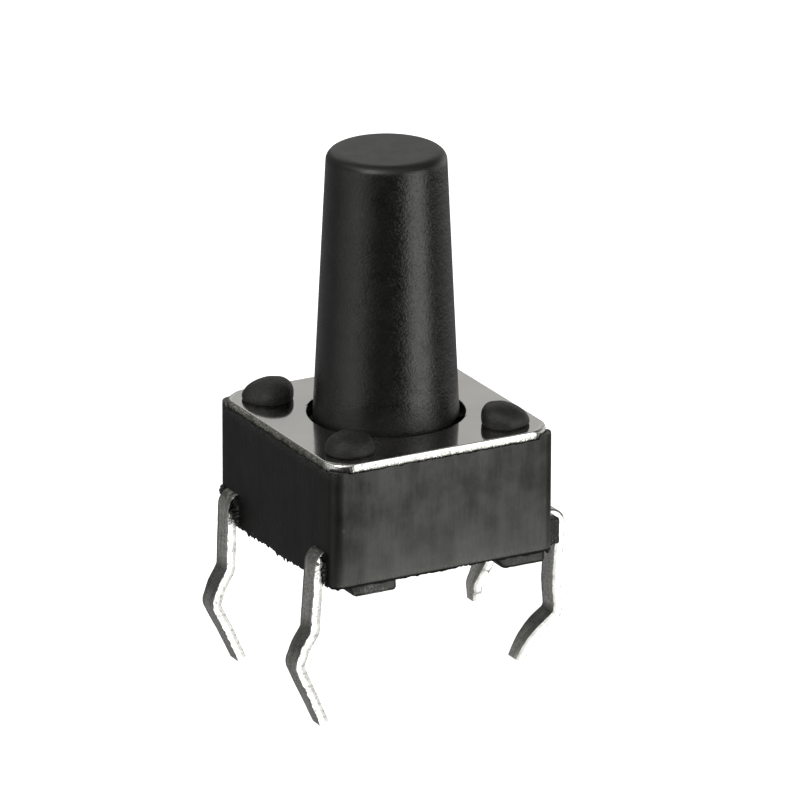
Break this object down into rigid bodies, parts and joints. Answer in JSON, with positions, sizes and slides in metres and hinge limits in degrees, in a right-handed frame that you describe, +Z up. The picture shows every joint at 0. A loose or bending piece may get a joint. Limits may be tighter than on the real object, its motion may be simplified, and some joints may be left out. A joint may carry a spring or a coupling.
{
  "type": "tactile push button switch",
  "caption": "Square through-hole tactile push button with a tall tapered stem, a riveted metal cover and kinked flat pins.",
  "frame": {"origin": "Middle of the square housing, in the plane of its four feet, where the switch sits on its board", "axes": "+Z up along the stem; X across the board from one row of pins to the other, along both lead frames; Y along a row of pins"},
  "size_m": [0.008, 0.006, 0.0133],
  "materials": {
    "housing_plastic": "black moulded plastic, slightly shiny",
    "cover_steel": "bright stamped sheet steel",
    "stem_plastic": "black moulded plastic, satin",
    "dome_steel": "bright spring steel",
    "lead_metal": "tin plated strip"
  },
  "bodies": {
    "housing": {"base": "housing_plastic", "cover": "cover_steel", "snap_dome": "dome_steel", "lead_front": "lead_metal", "lead_back": "lead_metal"},
    "plunger": {"stem": "stem_plastic"}
  },
  "joints": [
    {"name": "stem_press", "type": "slide", "parent": "housing", "child": "plunger", "axis": [0, 0, -1], "range_m": [0, 0.00025], "stiffness_N_per_m": 6000, "deforming": ["snap_dome"]}
  ]
}
